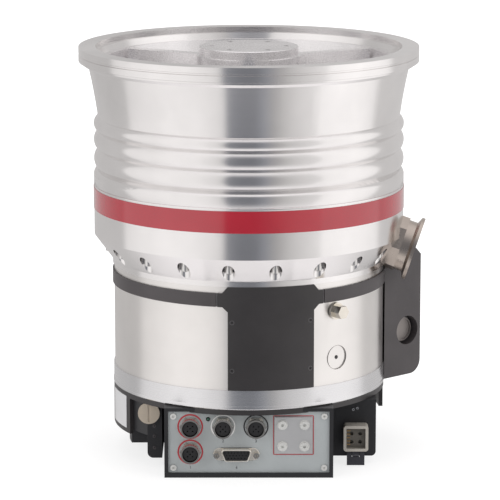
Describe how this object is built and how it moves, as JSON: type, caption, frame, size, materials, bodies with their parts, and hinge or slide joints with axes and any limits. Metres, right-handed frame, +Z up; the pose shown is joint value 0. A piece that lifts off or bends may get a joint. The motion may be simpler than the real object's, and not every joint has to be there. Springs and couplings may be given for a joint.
{
  "type": "turbomolecular vacuum pump",
  "caption": "High-vacuum pump with a flared ribbed housing, clamp-flange inlet over a bladed rotor, angled outlet port and drive electronics underneath.",
  "frame": {"origin": "on the pump axis, in the flat underside of the electronics housing on which the pump stands", "axes": "+Z up the pump axis towards the inlet; the connector panel looks along -Y and the foreline port points along +X"},
  "size_m": [0.2968, 0.291, 0.351],
  "materials": {
    "housing_aluminium": "bright turned",
    "casing_aluminium": "satin turned",
    "base_aluminium": "satin turned",
    "rotor_aluminium": "milled",
    "stripe_red": "printed film",
    "black_anodised": "matt anodised",
    "black_cast": "fine matt coat",
    "panel_grey": "screen-printed, satin",
    "nickel": "nickel plated",
    "stainless": "electropolished",
    "steel": "ground",
    "black_plastic": "moulded",
    "beige_metal": "chromated die-cast",
    "insert_grey": "moulded",
    "coin_beige": "nickel-plated brass",
    "magnet_dark": "sintered",
    "label_white": "printed film",
    "seal_black": "moulded",
    "board_green": "lacquered"
  },
  "bodies": {
    "pump_body": {"base_ring": "base_aluminium", "bearing_balls": "steel", "bearing_housing": "base_aluminium", "bearing_magnets_fixed": "magnet_dark", "bearing_outer_race": "steel", "bearing_star": "casing_aluminium", "blank_plate": "beige_metal", "blind_plug": "casing_aluminium", "casing_cover_plate": "black_anodised", "casing_seal": "seal_black", "casing_strap": "black_anodised", "circuit_board": "board_green", "coin_plug": "coin_beige", "colour_stripe": "stripe_red", "connector_panel": "panel_grey", "cover_plate_screws": "black_anodised", "drag_stator": "rotor_aluminium", "electronics_housing": "black_cast", "flank_cap": "steel", "flank_housing": "black_anodised", "foreline_collar": "stainless", "foreline_flange": "stainless", "housing_screws": "steel", "lever_bracket": "beige_metal", "mains_block": "black_cast", "mains_inlet_frame": "beige_metal", "mains_inlet_insert": "insert_grey", "motor_casing": "casing_aluminium", "motor_stator": "magnet_dark", "panel_screws": "steel", "round_socket_inserts": "black_plastic", "round_socket_shells": "nickel", "signal_connector_core": "black_plastic", "signal_connector_posts": "nickel", "signal_connector_shell": "nickel", "star_cap": "casing_aluminium", "star_cap_screws": "steel", "stator_spacers": "rotor_aluminium", "stator_stage_1": "rotor_aluminium", "stator_stage_2": "rotor_aluminium", "stator_stage_3": "rotor_aluminium", "stator_stage_4": "rotor_aluminium", "type_label": "label_white", "under_ring": "black_anodised", "upper_housing": "housing_aluminium", "valve_block": "black_cast", "vent_screw": "nickel"},
    "rotor": {"bearing_inner_race": "steel", "bearing_magnets_turning": "magnet_dark", "drag_sleeve": "black_plastic", "motor_magnet": "magnet_dark", "rotor_bell": "rotor_aluminium", "rotor_shaft": "steel", "rotor_stage_1": "rotor_aluminium", "rotor_stage_2": "rotor_aluminium", "rotor_stage_3": "rotor_aluminium", "rotor_stage_4": "rotor_aluminium", "rotor_stage_5": "rotor_aluminium"},
    "lever": {"locking_lever": "black_plastic"}
  },
  "joints": [
    {"name": "rotor_spin", "type": "hinge", "parent": "pump_body", "child": "rotor", "pos_m": [0, 0, 0.2], "axis": [0, 0, 1], "continuous": true},
    {"name": "lever_swing", "type": "hinge", "parent": "pump_body", "child": "lever", "pos_m": [0.0909, -0.068, 0.01075], "axis": [-1, 0, 0], "range_deg": [0, 90]}
  ]
}
